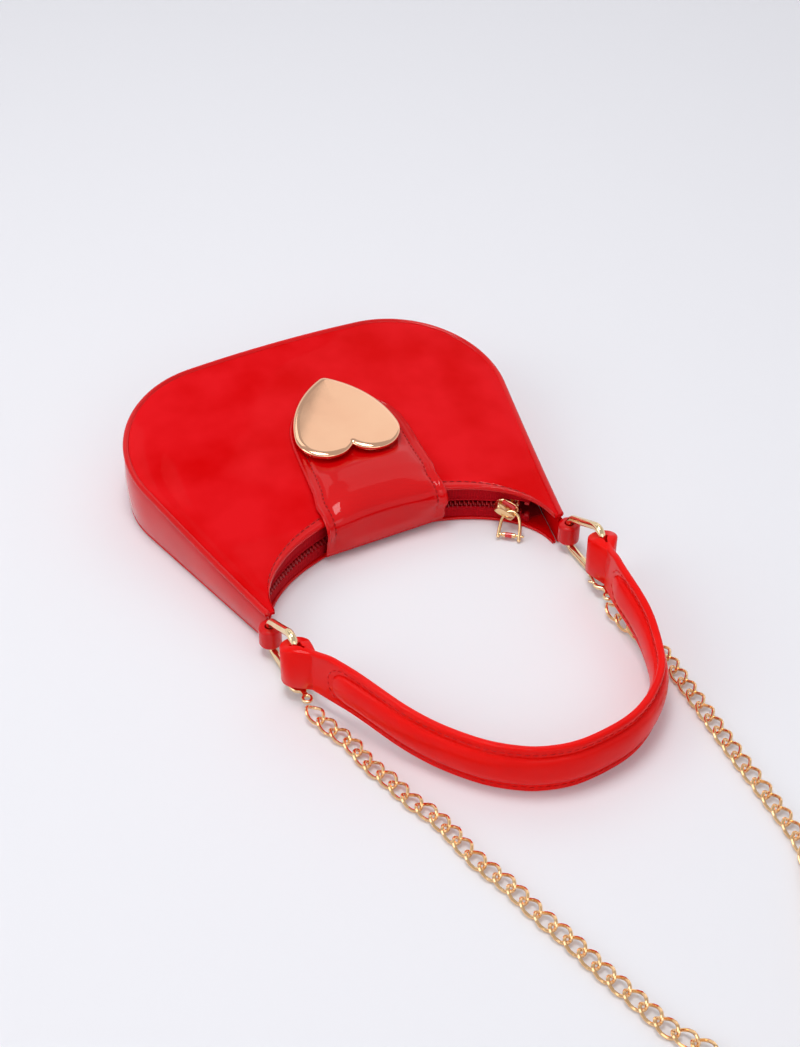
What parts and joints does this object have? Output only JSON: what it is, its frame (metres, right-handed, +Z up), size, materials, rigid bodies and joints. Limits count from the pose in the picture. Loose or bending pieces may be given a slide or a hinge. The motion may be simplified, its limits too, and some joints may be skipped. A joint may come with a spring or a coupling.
{
  "type": "handbag",
  "caption": "Small glossy red vinyl handbag lying on its back, with a heart plate on its flap, a zip, a padded top handle on gold rings and a gold shoulder chain.",
  "frame": {"origin": "bottom centre of the bag and its handle as it lies on its back, without the chain", "axes": "+X across the bag to its right, +Y from the handle towards the bag's base, +Z up"},
  "size_m": [0.1882, 0.4491, 0.0373],
  "materials": {
    "red_vinyl": "glossy embossed-smooth vinyl",
    "lining_fabric": "plain woven lining",
    "zip_tape": "woven zip tape",
    "zip_coil": "moulded coil teeth",
    "slider_metal": "polished",
    "enamel": "glossy enamel",
    "snap_metal": "plain",
    "heart_metal": "polished rose gold",
    "gold_metal": "polished pale gold",
    "handle_vinyl": "glossy vinyl over padding",
    "chain_metal": "polished pale gold"
  },
  "bodies": {
    "bag": {"back_panel": "red_vinyl", "front_panel": "red_vinyl", "gusset": "red_vinyl", "front_piping": "red_vinyl", "back_piping": "red_vinyl", "front_mouth_binding": "red_vinyl", "back_mouth_binding": "red_vinyl", "flap_root": "red_vinyl", "left_tab": "red_vinyl", "right_tab": "red_vinyl", "lining_front": "lining_fabric", "lining_back": "lining_fabric", "lining_gusset": "lining_fabric", "zip_tape_front": "zip_tape", "zip_tape_back": "zip_tape", "zip_teeth_front": "zip_coil", "zip_teeth_back": "zip_coil", "zip_stop_left": "zip_coil", "zip_stop_right_front": "zip_coil", "zip_stop_right_back": "zip_coil", "snap_socket": "snap_metal", "chain_left_run": "chain_metal", "chain_right_run": "chain_metal", "chain_coil": "chain_metal"},
    "flap": {"flap": "red_vinyl", "snap_stud": "snap_metal", "heart_plate": "heart_metal"},
    "slider": {"slider_body": "slider_metal", "slider_bridge": "slider_metal", "slider_enamel": "enamel"},
    "puller": {"puller_yoke": "slider_metal", "puller_bar": "slider_metal"},
    "left_ring": {"left_ring": "gold_metal", "left_clasp_body": "gold_metal"},
    "right_ring": {"right_ring": "gold_metal", "right_clasp_body": "gold_metal"},
    "left_gate": {"left_clasp_gate": "gold_metal"},
    "right_gate": {"right_clasp_gate": "gold_metal"},
    "handle": {"handle_strap": "handle_vinyl", "handle_pad_outer": "handle_vinyl", "handle_pad_inner": "handle_vinyl", "handle_loop_left": "handle_vinyl", "handle_loop_right": "handle_vinyl"}
  },
  "joints": [
    {"name": "flap_open", "type": "hinge", "parent": "bag", "child": "flap", "pos_m": [0.002, 0.02413, 0.0044], "axis": [1, 0, 0], "range_deg": [0, 95]},
    {"name": "zip_slide", "type": "hinge", "parent": "bag", "child": "slider", "pos_m": [0, -0.05884, 0.009], "axis": [0, 0, -1], "range_deg": [-9, 1], "deforming": ["zip_teeth_front", "zip_teeth_back"]},
    {"name": "puller_swing", "type": "hinge", "parent": "slider", "child": "puller", "pos_m": [0.05301, 0.00906, 0.009], "axis": [-0.7882, 0.6154, 0], "range_deg": [0, 95]},
    {"name": "left_ring_swing", "type": "hinge", "parent": "bag", "child": "left_ring", "pos_m": [-0.07011, -0.01575, 0], "axis": [0, 0, 1], "range_deg": [-50, 50], "deforming": ["chain_left_run", "chain_right_run"]},
    {"name": "handle_sway", "type": "hinge", "parent": "left_ring", "child": "handle", "pos_m": [-0.07011, -0.04075, 0], "axis": [0, 0, 1], "range_deg": [-50, 50], "deforming": ["chain_left_run", "chain_right_run"]},
    {"name": "right_ring_swing", "type": "hinge", "parent": "bag", "child": "right_ring", "pos_m": [0.07011, -0.01575, 0], "axis": [0, 0, 1], "range_deg": [-50, 50], "deforming": ["chain_left_run", "chain_right_run"]},
    {"name": "left_gate_swing", "type": "hinge", "parent": "left_ring", "child": "left_gate", "pos_m": [-0.06623, -0.0429, 0.005], "axis": [0, 0, 1], "range_deg": [0, 16], "stiffness_Nm_per_rad": 0.0006},
    {"name": "right_gate_swing", "type": "hinge", "parent": "right_ring", "child": "right_gate", "pos_m": [0.06456, -0.0454, 0.005], "axis": [0, 0, -1], "range_deg": [0, 16], "stiffness_Nm_per_rad": 0.0006}
  ],
  "couplings": [
    {"joint": "handle_sway", "follows": "left_ring_swing", "ratio": -1},
    {"joint": "right_ring_swing", "follows": "left_ring_swing", "ratio": 1}
  ]
}
